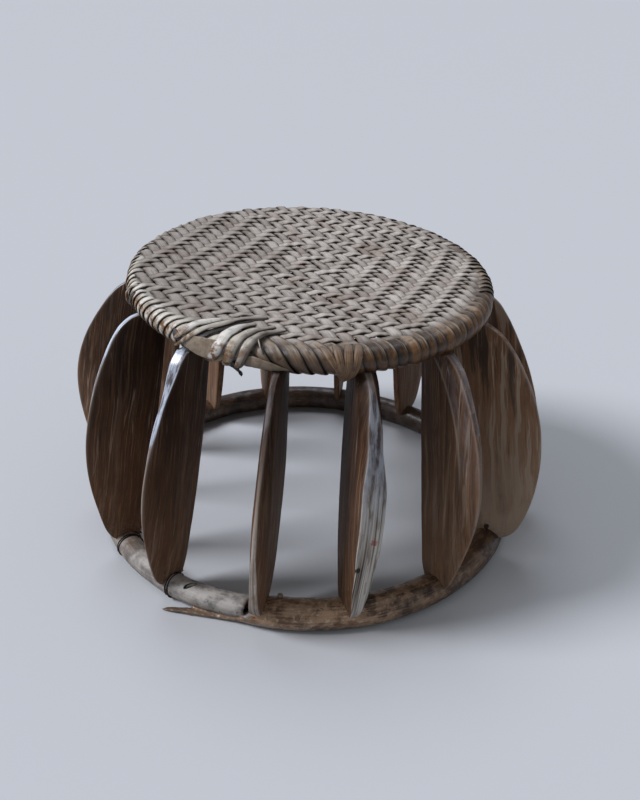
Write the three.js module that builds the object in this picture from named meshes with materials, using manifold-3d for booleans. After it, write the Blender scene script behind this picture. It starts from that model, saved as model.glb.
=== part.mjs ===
// Low round stool: a woven seat on a bent hoop, carried by a ring of hewn wooden blades that
// stand on a floor hoop bent from one pole. Millimetres, +Z up, the front looks along -Y.
// The origin is on the floor, at the middle of the stool's outline.
import * as THREE from "three";
import { mergeVertices } from "three/addons/utils/BufferGeometryUtils.js";
import Module from "manifold-3d";

const wasm = await Module();
wasm.setup();

// Seat: a woven skin turned over a slightly oval hoop, set back a little. It leans down to the
// right and rakes up to the back.
const stoolHeight = 287;
const seatWidth = 380;
const seatDepth = 405;
const rimDepth = 21;
const weaveThickness = 2.2;
const seatSag = 4;
const rimEasing = 34;
const seatSetBack = 6;
const seatLeanAngle = 1.15;
const seatRakeAngle = 3.5;

// Floor hoop: one pole, thin at the pale end and thick at the brown end
const poleRing = 224;
const thinPole = 12.1;
const thickPole = 15.4;
const paleEndAngle = -15.7;
const brownEndAngle = -12.4;
const taperAngle = 110;
const paleRise = 4;
const riseAngle = 26;

// Spike: the brown end is cut away to a thin straight tongue that runs out under the pale end
const spikeTipAngle = -34;
const spikeTipOut = 25;
const spikeRoot = { width: 13, height: 9 };
const spikeTip = { width: 4, height: 2.6 };
const spikeBury = 10;

// Blades: hewn boards, widest at mid height, narrow under the rim and at the foot
const bladeThickness = 13;
const bladeTopOut = 15;
const bladeTopIn = 20;
const bladeFootOut = 18;
const bladeFootIn = 18;
const bladeBulge = 35;
const bladeBow = 9;
const bevelDepth = 12;
const saddleDepth = 9;
const swellPower = 0.75;
const innerEdgeShare = 0.78;

// Tenons at both ends of a blade, and the small pieces at the floor hoop
const tenonRadius = 3.5;
const footTenonDepth = 13;
const topTenonDepth = 9;
const tenonRoot = 6;
const plug = { radius: 2.6, depth: 14, proud: 1.6, inset: 7, angle: -5.8 };
const mortise = { halfWidth: 2, halfLength: 6, depth: 8, angle: -29 };
const nail = { shank: 1.2, length: 22, head: 2.6, headHeight: 1.2, above: 7, angle: 50 };
const wire = { radius: 0.8, pitch: 3.2, turns: 2.25 };
const wireStand = 4.6;
const wireTouch = 1.9;

// Tab of folded strips that hangs from the rim beside a front blade
const tab = { width: 20, drop: 16, tip: 4, lean: 2.4, thickness: 2.4, beside: 1.6, inset: 1 };

// Fits and facets
const gap = 0.3;
const overrun = 4;
const poleSides = 12;
const poleSteps = 72;
const seatSegments = 56;
const bladeSteps = 12;
const hoopSides = 12;
const hemSides = 10;
const pegSides = 8;
const wireSides = 6;
const wireSteps = 24;
const spikeSteps = 6;
const riseSteps = 8;
const domeSides = 6;
const dishSteps = 3;

// One row for each blade, going round from the back left: the azimuths of its foot and top in
// degrees, 0 at the front and positive to the right, then shares of the sizes above. belly is
// the height of its widest point, power how it swells below and above it, and edge the outer
// edge's half width, low and high. Some rows have a size of their own: head is the thickness
// under the rim, topOut and saddle are lengths, and twist turns the board, in degrees, out of
// its radial plane.
const bladeShares = [
  { foot: -164, top: -165, thick: 0.95, bulge: 0.95, bow: 1, belly: 0.5, edge: [0.25, 0.38] },
  { foot: -142.5, top: -142, thick: 1, bulge: 1, bow: 0.8, belly: 0.47, edge: [0.22, 0.36] },
  { foot: -114, top: -115, thick: 1, bulge: 0.98, bow: 1, belly: 0.52, edge: [0.2, 0.35] },
  { foot: -86.4, top: -86.1, thick: 0.97, bulge: 1.18, bow: 1, belly: 0.6, power: [0.96, 0.88],
    edge: [0.2, 0.34], saddle: 10, twist: -3.9 },
  { foot: -58.9, top: -60.8, thick: 0.97, bulge: 1.01, bow: 0.15, belly: 0.53, power: [0.92, 0.56],
    edge: [0.14, 0.3], saddle: 7.5 },
  { foot: -37, top: -34.7, thick: 1.11, bulge: 0.95, bow: 0.46, belly: 0.505, power: [1.01, 1.07],
    edge: [0.14, 0.4], topOut: 21.7, saddle: 8.4, twist: 4.4 },
  { foot: -10.3, top: -7.9, thick: 1.17, bulge: 0.83, bow: 1.41, belly: 0.5, power: [0.75, 0.62],
    edge: [0.3, 0.34], saddle: 10.5, twist: -3.5 },
  { foot: 11.6, top: 15, thick: 1.82, bulge: 0.77, bow: 0.78, belly: 0.57, power: [0.87, 0.69],
    edge: [0.3, 0.22], head: 0.85, saddle: 13, twist: 2.8 },
  { foot: 36.8, top: 41.3, thick: 1.21, bulge: 1.11, bow: 0.12, belly: 0.54, power: [1.01, 0.74],
    edge: [0.2, 0.4], head: 1.2, topOut: 18.9, saddle: 12, twist: -5.2 },
  { foot: 63.6, top: 65.8, thick: 0.98, bulge: 1.31, bow: 1, belly: 0.55, power: [0.54, 0.67],
    edge: [0.2, 0.32], saddle: 10, twist: 1.1 },
  { foot: 86, top: 88, thick: 1, bulge: 1.15, bow: 1, belly: 0.43, edge: [0.2, 0.36] },
  { foot: 115, top: 114, thick: 1.05, bulge: 1, bow: 1, belly: 0.5, edge: [0.22, 0.36] },
  { foot: 142.5, top: 142, thick: 1, bulge: 1.02, bow: 0.9, belly: 0.48, edge: [0.2, 0.36] },
  { foot: 168.6, top: 169, thick: 0.9, bulge: 0.95, bow: 1, belly: 0.5, edge: [0.24, 0.36] },
];
const thickEndShare = 0.72;
const wireBlades = [4, 5];
const nailBlade = 9;
const tabBlade = 7;

const rimRadius = rimDepth / 2;
const rimRing = seatWidth / 2 - rimRadius;
const rimHeight = stoolHeight - rimRadius;
const hoopRadius = rimRadius - weaveThickness - gap;
const rad = THREE.MathUtils.degToRad;

// Materials
const finish = (color, roughness) => new THREE.MeshStandardMaterial({ color, roughness, metalness: 0 });
const bladeWood = finish("#3d2b21", 0.55);
const poleWood = finish("#6b4c38", 0.6);
const hoopCane = finish("#6d5238", 0.7);
const weaveCane = finish("#93867a", 0.65);
const tabCane = finish("#7d5a33", 0.6);
const plugWood = finish("#8d8076", 0.7);
const iron = new THREE.MeshStandardMaterial({ color: "#2b2523", roughness: 0.5, metalness: 0.7 });

// The seat's own frame: level there, then leaned, raked and set back on the blades
const seatPlace = new THREE.Object3D();
seatPlace.position.set(0, seatSetBack, rimHeight);
seatPlace.rotation.set(rad(seatRakeAngle), rad(seatLeanAngle), 0);
seatPlace.updateMatrix();

function at(azimuth, ring, height) {
  const turn = rad(azimuth);
  return new THREE.Vector3(ring * Math.sin(turn), -ring * Math.cos(turn), height);
}

// A closed body through rings of points, each ring turning counter-clockwise about its way on
function loft(rings) {
  const sides = rings[0].length;
  const faces = [];
  for (let row = 0; row + 1 < rings.length; row++) {
    for (let k = 0; k < sides; k++) {
      const a = row * sides + k;
      const b = row * sides + ((k + 1) % sides);
      faces.push(a, b, b + sides, a, b + sides, a + sides);
    }
  }
  const last = (rings.length - 1) * sides;
  for (let k = 2; k < sides; k++) {
    faces.push(0, k, k - 1, last, last + k - 1, last + k);
  }
  const geometry = new THREE.BufferGeometry().setFromPoints(rings.flat());
  geometry.setIndex(faces);
  return geometry;
}

// Booleans: a closed mesh becomes a solid, and a solid becomes a mesh again
function solid(geometry) {
  const bare = geometry.clone();
  bare.deleteAttribute("normal");
  bare.deleteAttribute("uv");
  const merged = mergeVertices(bare);
  const faces = [];
  for (let k = 0; k < merged.index.count; k += 3) {
    const [a, b, c] = [merged.index.getX(k), merged.index.getX(k + 1), merged.index.getX(k + 2)];
    if (a !== b && b !== c && c !== a) {
      faces.push(a, b, c);
    }
  }
  return new wasm.Manifold(
    new wasm.Mesh({
      numProp: 3,
      vertProperties: new Float32Array(merged.attributes.position.array),
      triVerts: new Uint32Array(faces),
    }),
  );
}

function shape(body) {
  const { vertProperties, triVerts } = body.getMesh();
  const geometry = new THREE.BufferGeometry();
  geometry.setAttribute("position", new THREE.BufferAttribute(vertProperties, 3));
  geometry.setIndex(new THREE.BufferAttribute(triVerts, 1));
  return geometry;
}

// A piece is shaped where it stands, then given its own place and turn
const stool = new THREE.Group();

function piece(name, body, material, place) {
  const mesh = new THREE.Mesh(shape(body), material);
  mesh.name = name;
  mesh.position.copy(place.position);
  mesh.rotation.copy(place.rotation);
  mesh.updateMatrix();
  mesh.geometry.applyMatrix4(mesh.matrix.clone().invert());
  stool.add(mesh);
}

function placeAt(azimuth, ring, height) {
  const place = new THREE.Object3D();
  place.position.copy(at(azimuth, ring, height));
  place.rotation.z = rad(azimuth);
  return place;
}

// A straight round peg between two points
function peg(from, to, radius) {
  const length = from.distanceTo(to);
  const body = new THREE.CylinderGeometry(radius, radius, length, pegSides);
  const way = to.clone().sub(from).normalize();
  body.applyQuaternion(new THREE.Quaternion().setFromUnitVectors(new THREE.Vector3(0, 1, 0), way));
  body.translate(...from.clone().lerp(to, 0.5).toArray());
  return body;
}

// The pole: its radius and the height of its middle follow the sweep from the pale end
const poleSweep = 360 + paleEndAngle - brownEndAngle;
const flat = Math.cos(Math.PI / poleSides);

function poleRadius(sweep) {
  return thinPole + (thickPole - thinPole) * THREE.MathUtils.smoothstep(sweep, 0, taperAngle);
}

function poleMiddle(sweep) {
  const rise = paleRise * (1 - THREE.MathUtils.smoothstep(sweep, 0, riseAngle));
  return poleRadius(sweep) * flat + rise;
}

function sweepOf(azimuth) {
  return (((paleEndAngle - azimuth) % 360) + 360) % 360;
}

function poleBody(fromSweep, toSweep, steps, extra) {
  const rings = [];
  for (let step = 0; step <= steps; step++) {
    const sweep = fromSweep + ((toSweep - fromSweep) * step) / steps;
    const radius = poleRadius(sweep) + extra;
    const ring = [];
    for (let side = 0; side < poleSides; side++) {
      const turn = ((side + 0.5) / poleSides) * 2 * Math.PI;
      const out = poleRing + radius * Math.sin(turn);
      ring.push(at(paleEndAngle - sweep, out, poleMiddle(sweep) - radius * Math.cos(turn)));
    }
    rings.push(ring);
  }
  return loft(rings);
}

// The oval seat hoop's middle, seen from the stool's axis at one azimuth
function hoopRing(azimuth) {
  const turn = rad(azimuth);
  const deepRing = (rimRing * seatDepth) / seatWidth;
  const across = Math.sin(turn) / rimRing;
  const deep = Math.cos(turn) / deepRing;
  const off = seatSetBack / deepRing;
  const square = across * across + deep * deep;
  return (Math.sqrt(off * off * deep * deep - square * (off * off - 1)) - off * deep) / square;
}

// The height of a level of the seat's frame at a place under the leaning rim
function seatLevel(level, place) {
  const lean = place.x * Math.tan(rad(seatLeanAngle));
  const rake = (place.y - seatSetBack) * Math.tan(rad(seatRakeAngle));
  return rimHeight + level + rake - lean;
}

// Tenons: upright pegs that run from a blade down into the pole, and up into the seat hoop
function footTenon(row, extra) {
  const sweep = sweepOf(row.foot);
  const top = poleMiddle(sweep) + poleRadius(sweep);
  const low = at(row.foot, poleRing, top - footTenonDepth - extra);
  const high = at(row.foot, poleRing, top + tenonRoot);
  return peg(low, high, tenonRadius + extra);
}

function topTenon(row, extra) {
  const ring = hoopRing(row.top);
  const under = seatLevel(-rimRadius, at(row.top, ring, 0));
  const low = at(row.top, ring, under - tenonRoot);
  const high = at(row.top, ring, under + weaveThickness + topTenonDepth + extra);
  return peg(low, high, tenonRadius + extra);
}

// The slab of space above the plane that the blades' tops are cut to, just under the rim
function rimSlab() {
  const slab = new THREE.BoxGeometry(2 * seatWidth, 2 * seatDepth, rimDepth);
  slab.translate(0, 0, -gap);
  return slab.applyMatrix4(seatPlace.matrix);
}

// A blade: upright sections, each on its own radial line, so that the board can lean a little
// along the rim. Each section is a lens with a bevelled outer edge.
function bladeBody(row) {
  const sweep = sweepOf(row.foot);
  const low = poleMiddle(sweep) + poleRadius(sweep) - (row.saddle ?? saddleDepth);
  const topRing = hoopRing(row.top);
  const high = seatLevel(-rimRadius, at(row.top, topRing, 0)) + overrun;
  const skew = Math.log(0.5) / Math.log(row.belly);
  const [lowPower, highPower] = row.power ?? [swellPower, swellPower];
  const rings = [];
  for (let step = 0; step <= bladeSteps; step++) {
    const share = step / bladeSteps;
    const height = low + (high - low) * share;
    const arch = Math.max(Math.sin(Math.PI * Math.pow(share, skew)), 0);
    const swell = Math.pow(arch, share < row.belly ? lowPower : highPower);
    const bow = Math.sin(Math.PI * share);
    const topOut = topRing + (row.topOut ?? bladeTopOut);
    const straight = THREE.MathUtils.lerp(poleRing + bladeFootOut, topOut, share);
    const outer = straight + bladeBulge * row.bulge * swell;
    const hollow = THREE.MathUtils.lerp(poleRing - bladeFootIn, topRing - bladeTopIn, share);
    const inner = hollow - bladeBow * row.bow * bow;
    const endShare = THREE.MathUtils.lerp(thickEndShare, row.head ?? thickEndShare, share);
    const half = (bladeThickness * row.thick * THREE.MathUtils.lerp(endShare, 1, bow)) / 2;
    const edgeShare = THREE.MathUtils.lerp(row.edge[0], row.edge[1], share);
    const edge = Math.min(bladeThickness * row.thick * edgeShare, half - gap);
    const bevel = outer - bevelDepth;
    const middle = (inner + bevel) / 2;
    const back = half * innerEdgeShare;
    const pivot = THREE.MathUtils.lerp(poleRing, topRing, share);
    const facing = rad(row.foot - 90 + (row.top - row.foot) * share);
    const twisted = facing + rad(row.twist ?? 0);
    const section = [
      [outer, -edge],
      [outer, edge],
      [bevel, half],
      [middle, half],
      [inner, back],
      [inner, -back],
      [middle, -half],
      [bevel, -half],
    ];
    rings.push(
      section.map(([out, along]) => {
        const beyond = out - pivot;
        const x = beyond * Math.cos(twisted) - along * Math.sin(twisted);
        const y = beyond * Math.sin(twisted) + along * Math.cos(twisted);
        return new THREE.Vector3(pivot * Math.cos(facing) + x, pivot * Math.sin(facing) + y, height);
      }),
    );
  }
  return loft(rings);
}

// The toe nail goes in low on a blade's left face and slants down into the pole
function nailAxis() {
  const row = bladeShares[nailBlade];
  const sweep = sweepOf(row.foot);
  const turn = rad(row.foot);
  const along = new THREE.Vector3(Math.cos(turn), Math.sin(turn), 0);
  const half = (bladeThickness * row.thick * thickEndShare) / 2;
  const head = at(row.foot, poleRing, poleMiddle(sweep) + poleRadius(sweep) + nail.above);
  const slope = rad(nail.angle);
  const standOff = nail.head * Math.sin(slope) + nail.headHeight * Math.cos(slope) + gap;
  head.addScaledVector(along, -half - standOff);
  const way = along.clone().multiplyScalar(Math.cos(slope));
  way.z = -Math.sin(slope);
  return { head, way };
}

function nailBody(extra) {
  const { head, way } = nailAxis();
  const tip = head.clone().addScaledVector(way, nail.length + extra);
  return solid(peg(head, tip, nail.shank + extra));
}

// Floor hoop
const poleCut = (extra) => solid(poleBody(0, poleSweep, poleSteps, extra));
let pole = poleCut(0);
const wideBody = poleCut(gap);

// The spike starts inside the brown end and runs straight to its tip on the floor
function spikeBody() {
  const from = at(brownEndAngle, poleRing, 0);
  const to = at(spikeTipAngle, poleRing + spikeTipOut, 0);
  const way = to.clone().sub(from).normalize();
  const side = new THREE.Vector3(way.y, -way.x, 0);
  from.addScaledVector(way, -spikeBury);
  const rings = [];
  for (let step = 0; step <= spikeSteps; step++) {
    const share = step / spikeSteps;
    const width = THREE.MathUtils.lerp(spikeRoot.width, spikeTip.width, share) / 2;
    const height = THREE.MathUtils.lerp(spikeRoot.height, spikeTip.height, share) / 2;
    const middle = from.clone().lerp(to, share);
    const ring = [];
    for (let k = 0; k < pegSides; k++) {
      const turn = ((k + 0.5) / pegSides) * 2 * Math.PI;
      const point = middle.clone().addScaledVector(side, width * Math.cos(turn));
      point.z = height * (Math.cos(Math.PI / pegSides) - Math.sin(turn));
      ring.push(point);
    }
    rings.push(ring);
  }
  return loft(rings);
}

const clearAngle = THREE.MathUtils.radToDeg((gap + gap) / poleRing);
const paleKeepOut = solid(poleBody(-clearAngle, riseAngle, riseSteps, gap + gap));
pole = pole.add(solid(spikeBody()).subtract(paleKeepOut));

bladeShares.forEach((row) => {
  pole = pole.subtract(solid(footTenon(row, gap)));
});
pole = pole.subtract(nailBody(gap));

// The plug stands in its hole, and an empty mortise lies between two of the front blades
const plugRing = poleRing - plug.inset;
const plugSweep = sweepOf(plug.angle);
const plugTop = poleMiddle(plugSweep) + poleRadius(plugSweep);
const plugLow = at(plug.angle, plugRing, plugTop - plug.depth);
const plugHigh = at(plug.angle, plugRing, plugTop + plug.proud);
pole = pole.subtract(solid(peg(plugLow.clone().setZ(plugLow.z - gap), plugHigh, plug.radius + gap)));

const mortiseSweep = sweepOf(mortise.angle);
const mortiseTop = poleMiddle(mortiseSweep) + poleRadius(mortiseSweep);
const { halfWidth, halfLength, depth: mortiseDepth } = mortise;
const mortiseCut = new THREE.CylinderGeometry(halfWidth, halfWidth, 2 * mortiseDepth, pegSides);
mortiseCut.rotateX(Math.PI / 2);
mortiseCut.scale(1, halfLength / halfWidth, 1);
mortiseCut.rotateZ(rad(mortise.angle));
mortiseCut.translate(...at(mortise.angle, poleRing, mortiseTop).toArray());
pole = pole.subtract(solid(mortiseCut));

// Foot lashings: iron wire wound round the pole beside a blade's foot. Under the pole it lies in
// a shallow notch, clear of the floor.
function lashingPath(row) {
  const start = sweepOf(row.foot);
  const half = (bladeThickness * row.thick * thickEndShare) / 2;
  const perMillimetre = THREE.MathUtils.radToDeg(1 / poleRing);
  const first = row.foot + (half + wireStand) * perMillimetre;
  const radius = poleRadius(start) + wire.radius + gap + gap;
  const middle = poleMiddle(start);
  const path = [];
  for (let step = 0; step <= wire.turns * wireSteps; step++) {
    const turn = (step / wireSteps) * 2 * Math.PI;
    const across = first + (step / wireSteps) * wire.pitch * perMillimetre;
    const height = Math.max(middle + radius * Math.cos(turn), wire.radius + gap);
    path.push(at(across, poleRing - radius * Math.sin(turn), height));
  }
  const touch = row.foot + (half + wireTouch) * perMillimetre;
  path.unshift(at(touch, poleRing, middle + radius));
  return path;
}

function lashingBody(path) {
  const curve = new THREE.CatmullRomCurve3(path);
  const steps = path.length - 1;
  const { normals, binormals } = curve.computeFrenetFrames(steps, false);
  const rings = [];
  for (let step = 0; step <= steps; step++) {
    const middle = curve.getPointAt(step / steps);
    const ring = [];
    for (let side = 0; side < wireSides; side++) {
      const turn = (side / wireSides) * 2 * Math.PI;
      const point = middle.clone().addScaledVector(normals[step], wire.radius * Math.cos(turn));
      ring.push(point.addScaledVector(binormals[step], wire.radius * Math.sin(turn)));
    }
    rings.push(ring);
  }
  return loft(rings);
}

// The notch under the pole that the wire lies in
function lashingNotch(row) {
  const half = (bladeThickness * row.thick * thickEndShare) / 2;
  const length = wire.turns * wire.pitch + 4 * wire.radius;
  const across = 2 * poleRadius(sweepOf(row.foot));
  const notch = new THREE.BoxGeometry(across, length, 2 * (2 * wire.radius + 4 * gap));
  notch.translate(poleRing, half + wireStand + length / 2 - 2 * wire.radius, 0);
  notch.rotateZ(rad(row.foot - 90));
  return notch;
}

let leastGap = Infinity;
wireBlades.forEach((index, count) => {
  const path = lashingPath(bladeShares[index]);
  path.forEach((point, k) => {
    path.slice(k + wireSteps / 2).forEach((other) => {
      leastGap = Math.min(leastGap, point.distanceTo(other) - 2 * wire.radius);
    });
  });
  pole = pole.subtract(solid(lashingNotch(bladeShares[index])));
  const place = placeAt(bladeShares[index].foot, poleRing, 0);
  piece(`foot_lashing_${count + 1}`, solid(lashingBody(path)), iron, place);
});
console.log(`least gap between a lashing's turns: ${leastGap.toFixed(2)} mm`);

piece("base_hoop", pole, poleWood, new THREE.Object3D());
const plugPlace = placeAt(plug.angle, plugRing, plugTop);
piece("pole_plug", solid(peg(plugLow, plugHigh, plug.radius)), plugWood, plugPlace);

// Toe nail with a domed head
const { head, way } = nailAxis();
const nailHead = new THREE.SphereGeometry(nail.head, pegSides, domeSides);
nailHead.scale(1, nail.headHeight / nail.head, 1);
nailHead.applyQuaternion(new THREE.Quaternion().setFromUnitVectors(new THREE.Vector3(0, 1, 0), way));
nailHead.translate(...head.toArray());
const nailPlace = new THREE.Object3D();
nailPlace.position.copy(head);
piece("toe_nail", nailBody(0).add(solid(nailHead)), iron, nailPlace);

// Blades: each is coped to the pole, cut to the rim's underside and given its two tenons
const slab = solid(rimSlab());
bladeShares.forEach((row, index) => {
  let blade = solid(bladeBody(row)).subtract(wideBody).subtract(slab);
  blade = blade.add(solid(footTenon(row, 0))).add(solid(topTenon(row, 0)));
  if (index === nailBlade) {
    blade = blade.subtract(nailBody(gap));
  }
  const place = placeAt(row.foot, poleRing, 0);
  piece(`blade_${String(index + 1).padStart(2, "0")}`, blade, bladeWood, place);
});

// Seat hoop: an oval ring with a blind hole over each blade
const hoopProfile = [];
for (let side = 0; side <= hoopSides; side++) {
  const turn = Math.PI / 2 + (side / hoopSides) * 2 * Math.PI;
  hoopProfile.push(new THREE.Vector2(rimRing + hoopRadius * Math.cos(turn), hoopRadius * Math.sin(turn)));
}
function turned(profile) {
  const body = new THREE.LatheGeometry(profile, seatSegments);
  body.rotateX(Math.PI / 2);
  body.scale(1, seatDepth / seatWidth, 1);
  return body.applyMatrix4(seatPlace.matrix);
}
let seatHoop = solid(turned(hoopProfile));

// Woven seat: the skin sags in the middle, turns over the hoop and ends inside it
const outerSkin = [];
const innerSkin = [];
for (let side = 0; side <= hemSides; side++) {
  const turn = Math.PI / 2 - (side / hoopSides) * 2 * Math.PI;
  const place = (radius) => new THREE.Vector2(rimRing + radius * Math.cos(turn), radius * Math.sin(turn));
  outerSkin.push(place(rimRadius));
  innerSkin.push(place(hoopRadius + gap));
}
const dish = [];
for (let step = 0; step <= dishSteps; step++) {
  const share = step / dishSteps;
  const sag = seatSag * (1 - share * share);
  dish.push(new THREE.Vector2(share * (rimRing - rimEasing), rimRadius - sag));
}
const lifted = dish.map((point) => new THREE.Vector2(point.x, point.y - weaveThickness));
const skinProfile = [...lifted, ...innerSkin, ...outerSkin.reverse(), ...dish.reverse()];
let weave = solid(turned(skinProfile));

bladeShares.forEach((row) => {
  const hole = solid(topTenon(row, gap));
  seatHoop = seatHoop.subtract(hole);
  weave = weave.subtract(hole);
});
piece("seat_hoop", seatHoop, hoopCane, seatPlace);
piece("woven_seat", weave, weaveCane, seatPlace);

// Rim tab: strips drawn together to a point, hung close under the rim
const tabOutline = new THREE.Shape();
tabOutline.moveTo(-tab.width / 2, 0);
tabOutline.lineTo(tab.lean - tab.tip / 2, -tab.drop);
tabOutline.lineTo(tab.lean + tab.tip / 2, -tab.drop);
tabOutline.lineTo(tab.width / 2, 0);
const tabBody = new THREE.ExtrudeGeometry(tabOutline, { depth: tab.thickness, bevelEnabled: false });
tabBody.rotateX(Math.PI / 2);
const besideBlade = bladeShares[tabBlade];
const tabOffset = (bladeThickness * besideBlade.thick) / 2 + tab.beside + tab.width / 2;
const tabRing = hoopRing(besideBlade.top) - tab.inset;
const tabAngle = besideBlade.top - THREE.MathUtils.radToDeg(tabOffset / tabRing);
const tabTop = seatLevel(-rimRadius, at(tabAngle, tabRing, 0)) - 2 * gap;
const tabPlace = placeAt(tabAngle, tabRing, tabTop);
tabPlace.updateMatrix();
piece("rim_tab", solid(tabBody.applyMatrix4(tabPlace.matrix)), tabCane, tabPlace);

// The whole stool, moved so that the middle of its outline is over the origin
const middle = new THREE.Box3().setFromObject(stool).getCenter(new THREE.Vector3());
stool.position.set(-middle.x, -middle.y, 0);
console.log(`outline's middle was at ${middle.x.toFixed(2)}, ${middle.y.toFixed(2)} mm`);
const whole = new THREE.Group();
whole.add(stool);

export default whole;
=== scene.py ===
from math import cos, exp, log, pi, radians, sin, sqrt, tan, tau

import bmesh
import bpy
import numpy as np
from mathutils import Matrix, Vector


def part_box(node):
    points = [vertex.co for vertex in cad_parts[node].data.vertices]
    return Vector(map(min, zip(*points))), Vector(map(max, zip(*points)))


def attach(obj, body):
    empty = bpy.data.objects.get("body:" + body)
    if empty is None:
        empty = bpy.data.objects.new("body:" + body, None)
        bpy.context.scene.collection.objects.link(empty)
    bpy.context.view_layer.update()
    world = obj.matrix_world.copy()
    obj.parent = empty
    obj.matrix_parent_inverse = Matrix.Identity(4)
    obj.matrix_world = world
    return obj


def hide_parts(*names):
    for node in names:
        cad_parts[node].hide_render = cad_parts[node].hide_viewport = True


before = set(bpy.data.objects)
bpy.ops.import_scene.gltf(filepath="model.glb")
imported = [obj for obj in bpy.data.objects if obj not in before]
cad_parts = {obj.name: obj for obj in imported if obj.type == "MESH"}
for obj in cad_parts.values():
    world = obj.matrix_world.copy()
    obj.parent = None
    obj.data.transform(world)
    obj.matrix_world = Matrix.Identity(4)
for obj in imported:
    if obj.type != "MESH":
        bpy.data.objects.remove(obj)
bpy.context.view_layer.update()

mm = 0.001
scene = bpy.context.scene

# Camera: it stands in front of the stool and looks down on the seat, turned a little to the
# right and rolled a little, as the stool was seen.
camera_data = bpy.data.cameras.new("camera")
camera_data.lens = 34.95
camera_data.sensor_width = 36
camera = bpy.data.objects.new("camera", camera_data)
camera.matrix_world = (
    Matrix.Translation(Vector((-4.28, -789.1, 546.1)) * mm)
    @ Matrix.Rotation(radians(-0.985), 4, "Z")
    @ Matrix.Rotation(radians(62.058), 4, "X")
    @ Matrix.Rotation(radians(2.014), 4, "Z")
)
scene.collection.objects.link(camera)
scene.camera = camera


# Floor hoop: one long pole bent green into a ring. Its thin pale end is sawn off and lies on
# the brown end, which is split away to a long thin spike that runs out under it. The bark is
# gone, and the wood is rubbed brown with paler, orange patches.
stool_middle = Vector((-4.28, -2.69, 0)) * mm
pole_ring = 224 * mm
thin_pole = 10.9 * mm
thick_pole = 15.4 * mm
pale_end = -15.7
pale_lift = 5.6 * mm
# the underside is worn flat at this share of the radius
worn_flat = 0.966
pole_sides = 40
pole_steps = 360


def colour(code):
    """The linear colour of a hex code."""
    shares = (int(code[k : k + 2], 16) / 255 for k in (1, 3, 5))
    linear = (s / 12.92 if s <= 0.04045 else ((s + 0.055) / 1.055) ** 2.4 for s in shares)
    return (*linear, 1)


def operator(kind, swapped=False):
    """A method that joins a wire and a value in one Math node."""

    def method(wire, value):
        pair = (value, wire) if swapped else (wire, value)
        return wire.add("ShaderNodeMath", {"operation": kind}, dict(enumerate(pair)))

    return method


class Wire:
    """A socket of a node tree. A sum or product of sockets adds Math nodes to the tree."""

    def __init__(self, tree, socket=None):
        self.tree = tree
        self.socket = socket

    def add(self, kind, settings=None, inputs=None, out=0, **sockets):
        """Any other node: its settings are set first, then its sockets' values and links."""
        made = self.tree.nodes.new(kind)
        for name, value in (settings or {}).items():
            setattr(made, name, value)
        sockets = {key.replace("_", " "): value for key, value in sockets.items()}
        for key, value in {**(inputs or {}), **sockets}.items():
            if isinstance(value, Wire):
                self.tree.links.new(value.socket, made.inputs[key])
            else:
                made.inputs[key].default_value = value
        return Wire(self.tree, made.outputs[out])

    def other(self, name):
        return Wire(self.tree, self.socket.node.outputs[name])

    def math(self, operation, *values, clamp=False):
        settings = {"operation": operation, "use_clamp": clamp}
        return self.add("ShaderNodeMath", settings, dict(enumerate((self, *values))))

    def __abs__(self):
        return self.math("ABSOLUTE")

    __add__ = __radd__ = operator("ADD")
    __sub__, __rsub__ = operator("SUBTRACT"), operator("SUBTRACT", swapped=True)
    __mul__ = __rmul__ = operator("MULTIPLY")
    __truediv__, __rtruediv__ = operator("DIVIDE"), operator("DIVIDE", swapped=True)
    __lt__, __gt__ = operator("LESS_THAN"), operator("GREATER_THAN")

    def smooth(self, low, high, start=0.0, end=1.0):
        sockets = {0: self, 1: low, 2: high, 3: start, 4: end}
        return self.add("ShaderNodeMapRange", {"interpolation_type": "SMOOTHSTEP"}, sockets)

    def between(self, low, high):
        """This share of the way from one number to another."""
        return self * (high - low) + low

    def tint(self, low, high, kind="MIX"):
        """This share of the way from one colour to another. The node clamps the share."""
        low, high = (colour(c) if isinstance(c, str) else c for c in (low, high))
        settings = {"data_type": "RGBA", "blend_type": kind}
        return self.add("ShaderNodeMix", settings, {0: self, 6: low, 7: high}, out=2)

    def parts(self):
        split = self.add("ShaderNodeSeparateXYZ", inputs={0: self})
        return split, split.other("Y"), split.other("Z")

    def vector(self, x, y, z):
        return self.add("ShaderNodeCombineXYZ", inputs={0: x, 1: y, 2: z})

    def noise(self, scale, detail=3.0, roughness=0.5):
        sockets = {"Scale": scale, "Detail": detail, "Roughness": roughness}
        return self.add("ShaderNodeTexNoise", out="Fac", Vector=self, **sockets)

    def grain(self, x, y, z, detail=3.0, roughness=0.5):
        """Noise drawn out by the scales of its three measures."""
        return self.vector(x, y, z).noise(1, detail, roughness)

    def distance(self, point):
        sockets = {0: self, 1: point}
        return self.add("ShaderNodeVectorMath", {"operation": "DISTANCE"}, sockets, out=1)

    def bump(self, distance, strength=1.0):
        return self.add("ShaderNodeBump", Strength=strength, Distance=distance, Height=self)

    def named(self, labels):
        """The values that a mesh carries under some names."""
        names = labels.split()
        return [self.add("ShaderNodeAttribute", {"attribute_name": n}, out="Fac") for n in names]

    def store(self, label, value):
        """This geometry with a named value on its points."""
        kind = "GeometryNodeStoreNamedAttribute"
        return self.add(kind, Geometry=self, Name=label, Value=value)

    def moved(self, **places):
        """This geometry with its points at a Position or shifted by an Offset."""
        return self.add("GeometryNodeSetPosition", Geometry=self, **places)

    def raised(self, rise):
        """This geometry with its points pushed out along their normals."""
        normal = {0: self.add("GeometryNodeInputNormal")}
        scaled = self.add("ShaderNodeVectorMath", {"operation": "SCALE"}, normal, Scale=rise)
        return self.moved(Offset=scaled)


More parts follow.
